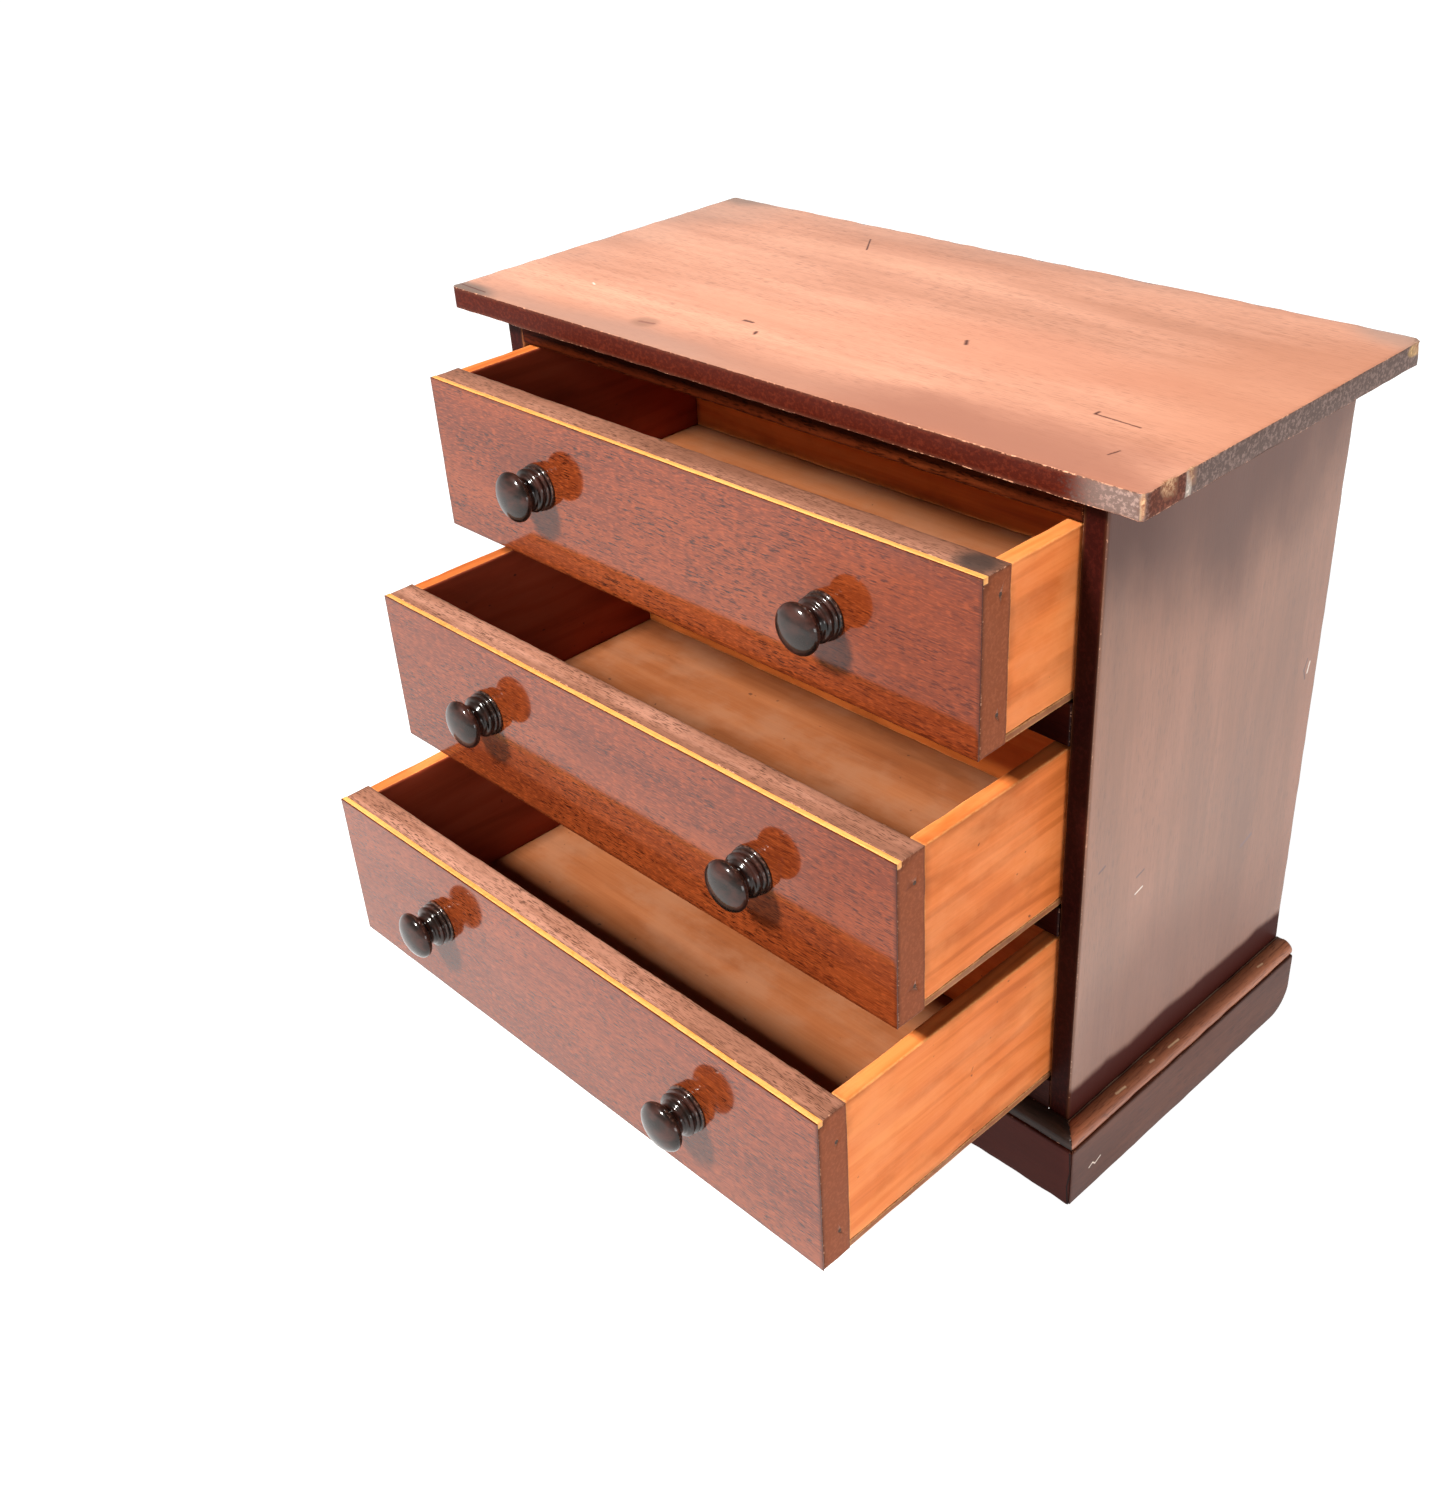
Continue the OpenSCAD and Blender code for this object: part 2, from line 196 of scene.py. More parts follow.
def mahogany(name, tones, pores=0.5, pore_size=(5.0, 0.5, 0.5), flecks=0.0, streaks=0.28,
             roughness=0.5, coat=(0.5, 0.15, 1.5), specular=0.15, grime=0.5, blotch=0.4,
             pale=(0.60, 0.30, 0.18), rubbed=1.0, patches=(), dull=0.0, scratches=(), rim=None,
             edge_patches=(), rubs=(), foot=None):
    """Polished mahogany: soft figure, short dark pores, grime in the arrises, rubbed spots.

    tones run from dark to light. flecks is how strongly short light flecks show, and streaks
    the share of fine streaks in the figure. pale is the tone of worn arrises and rubbed how
    strongly it shows. A patch is (centre, radii, tone, strength) and a scratch (start, end,
    width, tone), in grain coordinates; dull times a patch's strength is the share of the coat
    that is lost there. rim is the tone and the fleck tone of a board's narrow faces, and how
    much of the coat they keep; edge_patches lie on those faces only. rubs are (centre, radii)
    where the arrises are worn most. foot is (height, tone): on an upright board, below that
    height the colour takes that tone and the coat is gone, a painted reflection of the dark
    moulding below.
    """
    s = Shader(name)
    grain = s.attribute("grain", "Vector")
    inset = s.attribute("inset", "Fac")
    raw = s.attribute("raw", "Fac")
    figure = s.noise(grain, (140, 20, 20), detail=2, roughness=0.5)
    streak = s.noise(grain, (45, 2.2, 2.2), detail=3, roughness=0.55)
    broad = s.math("ADD", s.math("MULTIPLY", figure, 1 - streaks), s.math("MULTIPLY", streak, streaks))
    colour = s.ramp(broad, [(0.32, tones[0]), (0.50, tones[1]), (0.66, tones[2])])
    mottle = s.noise(grain, (5, 2.2, 2.2), detail=3, roughness=0.65, offset=(6, 1, 4))
    colour = s.mix(s.band(mottle, 0.45, 0.72, 0, 0.35 * pores), colour, [c * 0.45 for c in tones[0]])
    pore = s.noise(grain, pore_size, detail=1, roughness=0.4)
    patchy = s.band(s.noise(grain, (30, 9, 9), detail=2), 0.30, 0.60, 0.35, 1)
    pore_mask = s.math("MULTIPLY", s.band(pore, 0.52, 0.66), patchy)
    colour = s.mix(s.math("MULTIPLY", pore_mask, pores), colour, [c * 0.35 for c in tones[0]])
    if flecks:
        silk = s.noise(grain, (3.2, 0.5, 0.5), detail=2, roughness=0.5, offset=(4, 9, 2))
        colour = s.mix(s.band(silk, 0.50, 0.64, 0, flecks), colour, [c * 1.7 for c in tones[2]])
    smudge = s.noise(grain, (60, 28, 28), detail=4, roughness=0.55, offset=(3, 7, 1))
    colour = s.mix(s.band(smudge, 0.48, 0.75, 0, blotch), colour, tones[0])
    speck = s.noise(grain, (1.6, 1.2, 1.2), detail=3, roughness=0.7)
    coat_weight = coat[0]
    for centre, radii, tone, strength in patches:
        spread = s.math("ADD", s.spot(grain, centre, radii), s.math("MULTIPLY", smudge, 0.9))
        colour = s.mix(s.band(spread, 0.9, 1.6, strength, 0), colour, tone)
        if dull:
            kept = s.band(spread, 0.9, 1.6, 1 - dull * strength, 1)
            coat_weight = s.math("MULTIPLY", kept, coat_weight)
    # Painted reflection: below the foot height the colour darkens and the coat goes
    if foot:
        axes = s.node("ShaderNodeSeparateXYZ")
        s.feed(axes.inputs[0], grain)
        up = s.math("MODULO", axes.outputs["X"], GRAIN_STEP)
        up = s.math("ADD", up, s.math("MULTIPLY", smudge, 9))
        above = s.band(up, foot[0], foot[0] + 4)
        colour = s.mix(above, foot[1], colour)
        coat_weight = s.math("MULTIPLY", above, coat_weight)
    if rim:
        narrow = s.band(s.attribute("rim", "Fac"), 0.35, 0.75)
        flecked = s.band(speck, 0.45, 0.65, 0, 0.7)
        colour = s.mix(narrow, colour, s.mix(flecked, rim[0], rim[1]))
        coat_weight = s.math("MULTIPLY", coat_weight, s.band(narrow, 0, 1, 1, rim[2]))
        for centre, radii, tone, strength in edge_patches:
            spread = s.math("ADD", s.spot(grain, centre, radii), s.math("MULTIPLY", speck, 0.5))
            mask = s.math("MULTIPLY", s.band(spread, 0.9, 1.3, strength, 0), narrow)
            dark, light = [c * 0.6 for c in tone], [c * 1.5 for c in tone]
            colour = s.mix(mask, colour, s.mix(flecked, dark, light))
    dirty = s.math("MULTIPLY", s.band(inset, 0.1, 1.6, 1, 0), grime)
    colour = s.mix(dirty, colour, [c * 0.35 for c in tones[0]])
    bare = speck
    for centre, radii in rubs:
        bare = s.math("ADD", bare, s.band(s.spot(grain, centre, radii), 0.7, 1.1, 0.09, 0))
    worn = s.math("MULTIPLY", s.band(inset, 0.0, 0.55, 1, 0), s.band(bare, 0.56, 0.66, 0, rubbed))
    colour = s.mix(worn, colour, pale)
    hollow = 0.0
    for start, end, width, tone in scratches:
        gap = s.math("ADD", s.stroke(grain, start, end), s.math("MULTIPLY", speck, 0.5 * width))
        mask = s.band(gap, 0.3 * width, width, 1, 0)
        colour = s.mix(mask, colour, tone)
        hollow = s.math("MAXIMUM", mask, hollow)
    raw_tone = s.mix(s.band(speck, 0.35, 0.65), RAW_MAHOGANY, RAW_MAHOGANY_DARK)
    colour = s.mix(raw, colour, raw_tone)
    s.polish(coat, specular)
    s.feed(s.bsdf.inputs["Base Color"], colour)
    s.feed(s.bsdf.inputs["Roughness"], s.band(smudge, 0.3, 0.7, roughness - 0.06, roughness + 0.06))
    s.feed(s.bsdf.inputs["Coat Weight"], coat_weight)
    height = s.math("SUBTRACT", s.math("MULTIPLY", streak, 0.2), s.math("MULTIPLY", pore_mask, 0.5))
    height = s.math("SUBTRACT", height, s.math("MULTIPLY", hollow, 1.5))
    height = s.math("ADD", height, s.math("MULTIPLY", raw, s.math("MULTIPLY", speck, 2.5)))
    s.bump(height, 0.25, 0.1)
    return s.material


def pine(name, tones, roughness=0.6, grime=0.35, blotch=0.4, ring=5.0, ring_depth=0.12, knot=None,
         coat=(0, 0.3, 1.5), specular=0.15, dust=0.0, dust_tone=(0.62, 0.30, 0.14), facing=None,
         shade=None):
    """Aged pine: growth rings that bend around an optional knot, stains and pale worn edges.

    ring is the rings' spacing in millimetres and knot is (along, across, radius) in grain
    coordinates. facing is (centre, radii, tone) of the part of a board that is stained like
    the case. shade is (place, tone): painted shade, where the tone multiplies the colour of a
    board's wide face beyond that place across the board.
    """
    s = Shader(name)
    grain = s.attribute("grain", "Vector")
    inset = s.attribute("inset", "Fac")
    raw = s.attribute("raw", "Fac")
    wander = s.noise(grain, (160, 26, 26), detail=2, roughness=0.4)
    parts = s.node("ShaderNodeSeparateXYZ")
    s.feed(parts.inputs[0], grain)
    across = s.math("ADD", parts.outputs["Y"], s.math("MULTIPLY", parts.outputs["Z"], 0.35))
    across = s.math("ADD", across, s.math("MULTIPLY", wander, 24))
    if knot:
        along_mm, across_mm, radius = knot
        dx = s.math("DIVIDE", s.math("SUBTRACT", parts.outputs["X"], along_mm), radius)
        dy = s.math("DIVIDE", s.math("SUBTRACT", parts.outputs["Y"], across_mm), radius * 1.4)
        far = s.math("SQRT", s.math("ADD", s.math("MULTIPLY", dx, dx), s.math("MULTIPLY", dy, dy)))
        pull = s.math("EXPONENT", s.math("MULTIPLY", far, -0.75))
        across = s.math("ADD", across, s.math("MULTIPLY", s.math("MULTIPLY", dy, pull), -2.2 * radius))
    rings = s.band(s.math("SINE", s.math("MULTIPLY", across, 2 * math.pi / ring)), -0.2, 1.0)
    fibre = s.noise(grain, (38, 0.8, 0.8), detail=3, roughness=0.6)
    figure = s.noise(grain, (110, 16, 16), detail=2, roughness=0.5, offset=(5, 2, 9))
    mixed = s.math("ADD", s.math("MULTIPLY", rings, -ring_depth), s.math("MULTIPLY", fibre, 0.22))
    mixed = s.math("ADD", mixed, s.math("MULTIPLY", figure, 0.78))
    colour = s.ramp(mixed, [(0.25, tones[0]), (0.45, tones[1]), (0.66, tones[2])])
    stain = s.noise(grain, (42, 18, 18), detail=4, roughness=0.6, distortion=0.4, offset=(1, 4, 8))
    colour = s.mix(s.band(stain, 0.50, 0.76, 0, blotch), colour, [c * 0.5 for c in tones[0]])
    if dust:
        dusty = s.noise(grain, (34, 24, 24), detail=5, roughness=0.62, offset=(9, 9, 3))
        colour = s.mix(s.band(dusty, 0.40, 0.66, 0, dust), colour, dust_tone)
    if knot:
        colour = s.mix(s.band(far, 0.8, 3.2, 0.5, 0), colour, [c * 0.7 for c in tones[0]])
        colour = s.mix(s.band(far, 0.55, 0.95, 1, 0), colour, KNOT_HEART)
        rim = s.math("MULTIPLY", s.band(far, 0.5, 0.85), s.band(far, 0.9, 1.4, 0.9, 0))
        colour = s.mix(rim, colour, KNOT_RIM)
    speck = s.noise(grain, (1.8, 1.1, 1.1), detail=3, roughness=0.7)
    spot = s.noise(grain, (4, 3, 3), detail=1, roughness=0.4, offset=(2, 3, 4))
    colour = s.mix(s.band(spot, 0.78, 0.82, 0, 0.7), colour, PINE_SPOT)
    worn = s.math("MULTIPLY", s.band(inset, 0.0, 0.9, 1, 0), s.band(speck, 0.30, 0.60, 0.2, 1))
    colour = s.mix(s.math("MULTIPLY", worn, 0.55), colour, WORN_PINE)
    dirty = s.math("MULTIPLY", s.band(inset, 0.4, 4.0, 1, 0), s.band(stain, 0.42, 0.62, 0, grime))
    colour = s.mix(dirty, colour, [c * 0.4 for c in tones[0]])
    colour = s.mix(raw, colour, RAW_PINE)
    # Painted shade on a board's wide face beyond the given place
    if shade:
        place = s.math("MODULO", parts.outputs["Y"], GRAIN_SHIFT)
        beyond = s.band(place, GRAIN_SHIFT + shade[0] - 1, GRAIN_SHIFT + shade[0])
        wide = s.band(s.attribute("rim", "Fac"), 0.35, 0.75, 1, 0)
        colour = s.mix(s.math("MULTIPLY", beyond, wide), colour, shade[1], blend="MULTIPLY")
    if facing:
        stained = s.band(s.spot(grain, facing[0], facing[1]), 0.95, 1.05, 1, 0)
        stain_tone = s.mix(s.band(fibre, 0.4, 0.7), facing[2], [c * 2 for c in facing[2]])
        colour = s.mix(stained, colour, stain_tone)
    s.feed(s.bsdf.inputs["Base Color"], colour)
    s.feed(s.bsdf.inputs["Roughness"], s.band(stain, 0.3, 0.7, roughness - 0.08, roughness + 0.08))
    s.polish(coat, specular)
    s.bump(s.math("ADD", fibre, s.math("MULTIPLY", rings, 0.2)), 0.3, 0.1)
    return s.material


def ebony(name, tone, red):
    """Turned and ebonised wood: near black, with faint fibres and rubbed brown edges."""
    s = Shader(name)
    grain = s.attribute("grain", "Vector")
    edge = s.attribute("edge", "Fac")
    cloud = s.noise(grain, (9, 5, 5), detail=4, roughness=0.6)
    fibre = s.noise(grain, (7, 0.5, 0.5), detail=2, roughness=0.6)
    colour = s.mix(s.band(cloud, 0.4, 0.7), tone, red)
    colour = s.mix(s.band(fibre, 0.58, 0.72, 0, 0.5), colour, [c * 0.4 for c in tone])
    speck = s.noise(grain, (1.2, 0.8, 0.8), detail=3, roughness=0.7)
    rubbed = s.math("MULTIPLY", s.band(edge, 0.4, 1.0), s.band(speck, 0.45, 0.7))
    colour = s.mix(s.math("MULTIPLY", rubbed, 0.6), colour, RUBBED_EBONY)
    s.feed(s.bsdf.inputs["Base Color"], colour)
    s.feed(s.bsdf.inputs["Roughness"], s.band(cloud, 0.3, 0.7, 0.25, 0.42))
    s.polish((0.5, 0.05, 1.5), 0.06)
    s.bump(s.math("ADD", fibre, s.math("MULTIPLY", speck, 0.4)), 0.25, 0.06)
    return s.material


def iron(name):
    """Dark oxidised iron with brown rust."""
    s = Shader(name)
    place = s.node("ShaderNodeTexCoord").outputs["Object"]
    rust = s.noise(place, (0.0006, 0.0006, 0.0006), detail=4, roughness=0.6)
    s.feed(s.bsdf.inputs["Base Color"], s.ramp(rust, [(0.35, (0.02, 0.015, 0.013)),
                                                      (0.65, (0.11, 0.045, 0.02))]))
    s.feed(s.bsdf.inputs["Roughness"], s.band(rust, 0.3, 0.7, 0.45, 0.8))
    s.bsdf.inputs["Metallic"].default_value = 0.6
    s.bump(rust, 0.4, 0.05)
    return s.material


# ---- Mesh building ----

def fractal(point, size_mm, seed, octaves=3):
    """Signed noise with features of about size_mm at a point given in metres."""
    return noise.fractal(point / (size_mm * MM) + Vector((seed * 7.3, seed * 3.1, seed)), 1.0, 2.0,
                         octaves)


def solid_mesh(node):
    """The node's mesh, joined at its seams and merged into flat faces."""
    mesh = bmesh.new()
    mesh.from_mesh(frame["nodes"][node].data)
    bmesh.ops.remove_doubles(mesh, verts=mesh.verts, dist=1e-6)
    bmesh.ops.dissolve_limit(mesh, angle_limit=math.radians(0.5), verts=mesh.verts, edges=mesh.edges)
    return mesh


def slice_places(low, high, step, fine):
    """Where to cut along one axis: close to both ends, and every step between them."""
    ends = [at for at in fine if at < (high - low) / 2]
    inner = (low + 4 * MM, high - 4 * MM)
    count = max(0, int((inner[1] - inner[0]) / step))
    middle = [inner[0] + (inner[1] - inner[0]) * (i + 1) / (count + 1) for i in range(count)]
    return sorted([low + at for at in ends] + [high - at for at in ends] + middle)


def edge_distance(points, segments):
    """The distance from each point to the nearest of the segments."""
    best = np.full(len(points), 1.0)
    for start, end in segments:
        run = end - start
        share = np.clip((points - start) @ run / (run @ run), 0, 1)
        best = np.minimum(best, np.linalg.norm(points - start - share[:, None] * run, axis=1))
    return best


def worn_copy(node, material, along=X, rounding=0.5, step=4.0, wear=0.25, reach=1.6, seed=1,
              fine=(0.5, 1.1, 2.2), chips=(), broad=None):
    """A copy of a CAD node with rounded and unevenly worn arrises, which stands for the node.

    along is the axis of the grain. A chip is (centre, radii, direction, depth) in millimetres:
    the wood inside the ellipsoid is pushed that way by up to that depth and shows raw.
    broad is the axis that the board's wide faces look along.
    """
    mesh = solid_mesh(node)
    arrises = [e for e in mesh.edges if len(e.link_faces) == 2
               and e.calc_face_angle(0) > math.radians(30) and e.calc_length() > 1.0 * MM]
    segments = [(np.array(e.verts[0].co), np.array(e.verts[1].co)) for e in arrises]
    bmesh.ops.bevel(mesh, geom=arrises, offset=rounding * MM, offset_type="OFFSET", segments=2,
                    profile=0.5, affect="EDGES", clamp_overlap=True)
    low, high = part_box(node)
    for axis in (X, Y, Z):
        normal = Vector([1.0 if i == axis else 0.0 for i in range(3)])
        for place in slice_places(low[axis], high[axis], step * MM, [f * MM for f in fine]):
            bmesh.ops.bisect_plane(mesh, geom=mesh.verts[:] + mesh.edges[:] + mesh.faces[:],
                                   dist=1e-6, plane_co=normal * place, plane_no=normal)
    mesh.normal_update()
    points = np.array([v.co for v in mesh.verts])
    insets = edge_distance(points, segments) / MM
    inset_layer = mesh.verts.layers.float.new("inset")
    raw_layer = mesh.verts.layers.float.new("raw")
    grain_layer = mesh.verts.layers.float_vector.new("grain")
    rim_layer = mesh.verts.layers.float.new("rim")
    for vertex, inset in zip(mesh.verts, insets):
        closeness = max(0.0, 1 - inset / reach)
        place = vertex.co.copy()
        vertex[grain_layer] = in_grain(place / MM, along, seed)
        vertex[rim_layer] = 0.0 if broad is None else 1 - abs(vertex.normal[broad])
        lift = closeness * closeness * max(0.0, 0.35 + fractal(place, 9, seed)) * wear * MM
        push = vertex.normal * -lift
        raw = 0.0
        for centre, radii, direction, depth in chips:
            gap = (place - Vector(centre) * MM) / MM
            inside = math.sqrt(sum((g / r) ** 2 for g, r in zip(gap, radii)))
            inside += 0.35 * fractal(place, 3, seed + 5)
            if inside < 1:
                push += Vector(direction) * depth * MM * min(1.0, 1.6 * (1 - inside))
                raw = max(raw, min(1.0, 4 * (1 - inside)))
        vertex.co = place + push
        vertex[inset_layer] = inset
        vertex[raw_layer] = raw
    return finished_piece(mesh, node, material)


def finished_piece(mesh, node, material):
    """Makes the object of a mesh that stands for a node, on that node's body."""
    for face in mesh.faces:
        face.smooth = True
    data = bpy.data.meshes.new(f"{node}_worn")
    mesh.to_mesh(data)
    mesh.free()
    piece = bpy.data.objects.new(f"{node}_worn", data)
    bpy.context.scene.collection.objects.link(piece)
    data.materials.append(material)
    data.set_sharp_from_angle(angle=math.radians(50))
    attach(piece, body_of_node[node])
    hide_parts(node)
    return piece


body_of_node = {n: b for b, names in frame["record"]["behaviour"]["bodies"].items() for n in names}
slot_of_node = {p["node"]: p["material_slot"] for p in frame["record"]["subparts"]}


# ---- Materials ----

TOP_SEED, RIGHT_SIDE_SEED, RIGHT_PLINTH_SEED, RIGHT_MOULDING_SEED = 2, 4, 6, 8
FRONT_PLINTH_SEED, FRONT_MOULDING_SEED, BOTTOM_BOARD_SEED, KNOT_SEED = 11, 12, 16, 12
DRAWER_SEEDS = {"bottom_drawer": 20, "middle_drawer": 30, "top_drawer": 40}
# The seeds of a drawer's pieces, counted from the drawer's own
PIECE_STEPS = {"veneer": 0.3, "line": 0.5, "left_side": 1, "right_side": 1.5, "back": 2,
               "bottom": 2.5, "left_knob": 0.2, "right_knob": 0.7}
DARK_MARK = (0.10, 0.03, 0.02)
PALE_MARK = (0.75, 0.62, 0.52)
FLECK = (0.75, 0.46, 0.26)
CRACK = (0.010, 0.005, 0.004)
GREY_POLISH = (0.36, 0.24, 0.19)
# Painted shade for the top's front band, where less light is reflected, laid over the wood's own
# darker tone there
FRONT_PAINTED_SHADE = (0.37, 0.17, 0.113)
# Painted shade on the right of the top and middle fronts, where less light is reflected
VENEER_PAINTED_SHADE = (0.085, 0.012, 0.003)


def on_top(x, y, z=274):
    return in_grain((x, y, z), X, TOP_SEED)


def on_right_side(y, z):
    return in_grain((135, y, z), Z, RIGHT_SIDE_SEED)


def on_right_plinth(y, z):
    return in_grain((143, y, z), Y, RIGHT_PLINTH_SEED)


def on_right_moulding(x, y, z):
    return in_grain((x, y, z), Y, RIGHT_MOULDING_SEED)


def on_front_plinth(x, z):
    return in_grain((x, -4, z), X, FRONT_PLINTH_SEED)


def on_front_moulding(x, z):
    return in_grain((x, -3.2, z), X, FRONT_MOULDING_SEED)


def on_veneer(drawer_name, x, y, z):
    return in_grain((x, y, z), X, DRAWER_SEEDS[drawer_name] + PIECE_STEPS["veneer"])


TOP = mahogany(
    "top_mahogany", [(0.495, 0.220, 0.135), (0.620, 0.292, 0.188), (0.715, 0.355, 0.230)],
    pores=0.35, coat=(0.62, 0.22, 1.45), specular=0.04, blotch=0.45, grime=0.15,
    rim=((0.036, 0.004, 0.0015), (0.07, 0.010, 0.004), 0.12),
    edge_patches=[(on_top(152, 75, 270), (30, 140, 30), (0.20, 0.135, 0.115), 0.9),
                  (on_top(152, 4, 270), (12, 11, 12), (0.15, 0.035, 0.016), 0.9),
                  (on_top(152.5, 136, 272), (4, 5, 2.5), (0.62, 0.38, 0.17), 0.9),
                  (on_top(152.5, 14, 270), (5, 1.6, 12), (0.60, 0.50, 0.42), 0.9),
                  (on_top(152, -7, 270), (0.9, 0.9, 14), (0.65, 0.42, 0.24), 0.9)],
    rubs=[(on_top(118, -7), (48, 4, 30)), (on_top(152, 10), (4, 26, 30))],
    patches=[(on_top(-175, 70), (55, 110, 50), GREY_POLISH, 0.20),
             (on_top(-30, 152), (180, 28, 50), GREY_POLISH, 0.20),
             (on_top(-150, 125), (40, 30, 50), GREY_POLISH, 0.30),
             # The front band patch is painted shade, partly the wood's own darker tone
             (on_top(0, -10), (200, 26, 50), FRONT_PAINTED_SHADE, 0.8),
             (on_top(105, -8), (80, 34, 50), (0.34, 0.135, 0.085), 0.8),
             (on_top(150, 80), (60, 60, 50), (0.50, 0.20, 0.11), 0.65),
             (on_top(-70, -8), (90, 16, 50), GREY_POLISH, 0.30),
             (on_top(150, 142), (22, 16, 50), GREY_POLISH, 0.6),
             (on_top(-150, 142), (26, 12, 50), (0.20, 0.14, 0.11), 0.7),
             (on_top(-147, -7), (20, 8, 50), (0.14, 0.10, 0.08), 0.9),
             (on_top(-60, 8.5), (7, 5, 20), (0.22, 0.11, 0.07), 0.5),
             (on_top(60, 60), (75, 22, 50), (0.52, 0.20, 0.115), 0.5),
             (on_top(-20, 40), (60, 14, 50), (0.55, 0.24, 0.145), 0.35)],
    scratches=[(on_top(-62, 126), on_top(-54, 115), 0.8, DARK_MARK),
               (on_top(110, 31), on_top(126, 30), 0.8, DARK_MARK),
               (on_top(110, 31), on_top(110, 33), 1.2, DARK_MARK),
               (on_top(130, 9), on_top(131, 13), 0.8, DARK_MARK),
               (on_top(-33, 30), on_top(-29, 30), 1.6, DARK_MARK),
               (on_top(-21, 24), on_top(-20, 22), 1.5, DARK_MARK),
               (on_top(41, 58), on_top(43, 55), 1.5, DARK_MARK),
               (on_top(-62, 8), on_top(-56, 9), 1.6, (0.25, 0.10, 0.07)),
               (on_top(-152, -3), on_top(-135, -4), 0.8, DARK_MARK),
               (on_top(-110, 27), on_top(-108, 26), 0.9, PALE_MARK)])
SIDE = mahogany(
    "side_mahogany", [(0.180, 0.060, 0.021), (0.230, 0.080, 0.031), (0.285, 0.102, 0.045)],
    pores=0.25, coat=(0.95, 0.22, 1.58), specular=0.04, blotch=0.25,
    # The near black tone of the narrow faces is painted shade, as on the front edge beside the drawers
    rim=((0.015, 0.0018, 0.0012), (0.030, 0.004, 0.0025), 0.02),
    # The dark band above the moulding is a painted reflection of the moulding
    foot=(46, (0.050, 0.010, 0.007)), dull=0.5,
    # The first two patches are painted shade under the top's overhang, along the top and at the front
    # corner
    patches=[(on_right_side(70, 275), (75, 130, 110), (0.09, 0.034, 0.022), 0.9),
             (on_right_side(0, 268), (45, 60, 45), (0.06, 0.022, 0.016), 0.6),
             (on_right_side(60, 45), (60, 130, 80), (0.14, 0.045, 0.024), 0.5),
             (on_right_side(150, 150), (120, 60, 22), (0.34, 0.17, 0.12), 0.35)],
    scratches=[(on_right_side(131, 159), on_right_side(129.5, 155), 0.9, DARK_MARK),
               (on_right_side(129.5, 155), on_right_side(131, 151), 0.9, DARK_MARK),
               (on_right_side(132, 153), on_right_side(133, 157), 0.9, PALE_MARK),
               (on_right_side(12, 133), on_right_side(15, 134), 1.1, DARK_MARK),
               (on_right_side(34, 119), on_right_side(38, 120), 0.9, DARK_MARK),
               (on_right_side(101, 95), on_right_side(107, 97), 1.8, (0.15, 0.06, 0.045)),
               (on_right_side(34, 112), on_right_side(38, 113), 0.7, PALE_MARK)])
RAIL = mahogany("rail_mahogany", [(0.016, 0.0015, 0.001), (0.028, 0.003, 0.001), (0.05, 0.007, 0.002)],
                pores=0.6, coat=(0.1, 0.3, 1.4), specular=0.04)
TOP_RAIL = mahogany(
    "top_rail_mahogany", [(0.030, 0.004, 0.001), (0.060, 0.010, 0.0025), (0.11, 0.024, 0.006)],
    pores=0.9, pore_size=(3.0, 0.6, 0.6), coat=(0.0, 0.4, 1.4), specular=0.02,
    pale=(0.45, 0.16, 0.05))
PLINTH = mahogany(
    "plinth_mahogany", [(0.06, 0.014, 0.006), (0.10, 0.028, 0.012), (0.14, 0.042, 0.020)],
    pores=0.4, coat=(0.30, 0.2, 1.5), specular=0.04,
    scratches=[(on_right_plinth(7, 11), on_right_plinth(9, 12), 0.6, PALE_MARK),
               (on_right_plinth(9, 12), on_right_plinth(10.5, 10.5), 0.6, PALE_MARK),
               (on_right_plinth(10.5, 10.5), on_right_plinth(13.5, 12), 0.6, PALE_MARK)])
# Painted shade: the plinth front's tones and coat are lowered to the shade it lies in under the
# drawers
PLINTH_FRONT_PAINTED_SHADE = mahogany(
    "plinth_front_painted_shade_mahogany", [(0.018, 0.003, 0.002), (0.032, 0.005, 0.0035), (0.06, 0.011, 0.007)],
    pores=0.4, coat=(0.15, 0.2, 1.4), specular=0.03,
    patches=[(on_front_plinth(140, 13), (70, 30, 30), (0.060, 0.010, 0.006), 0.7)],
    scratches=[(on_front_plinth(142.4, 0), on_front_plinth(141.6, 9), 0.7, CRACK),
               (on_front_plinth(141.6, 9), on_front_plinth(142.6, 16), 0.7, CRACK),
               (on_front_plinth(142.6, 16), on_front_plinth(141.9, 26), 0.7, CRACK)])
MOULDING = mahogany(
    "moulding_mahogany", [(0.24, 0.070, 0.032), (0.42, 0.140, 0.062), (0.60, 0.24, 0.11)],
    pores=0.5, coat=(0.6, 0.2, 1.5), specular=0.15, grime=0.3,
    patches=[(on_right_moulding(134.8, 70, 31), (180, 1.7, 6), (0.030, 0.009, 0.006), 0.85)],
    scratches=[(on_right_moulding(139.5, 26, 30.5), on_right_moulding(139.8, 31, 30.4), 0.9, FLECK),
               (on_right_moulding(139.2, 47, 30.7), on_right_moulding(139.4, 49, 30.6), 0.9, FLECK),
               (on_right_moulding(139.6, 58, 30.5), on_right_moulding(139.8, 64, 30.4), 0.8, FLECK),
               (on_right_moulding(139.4, 118, 30.6), on_right_moulding(139.6, 121, 30.5), 0.8, FLECK),
               # This long pale line along the moulding's top edge is a painted highlight
               (on_right_moulding(135.5, -3, 31), on_right_moulding(135.5, 139, 31), 0.5,
                (0.50, 0.34, 0.22))])
MOULDING_FRONT = mahogany(
    "moulding_front_mahogany", [(0.016, 0.010, 0.008), (0.030, 0.018, 0.014), (0.06, 0.025, 0.018)],
    pores=0.4, coat=(0.3, 0.2, 1.5), specular=0.1, grime=0.4,
    scratches=[(on_front_moulding(131.5, 30), on_front_moulding(133, 29.6), 1.0, PALE_MARK)])
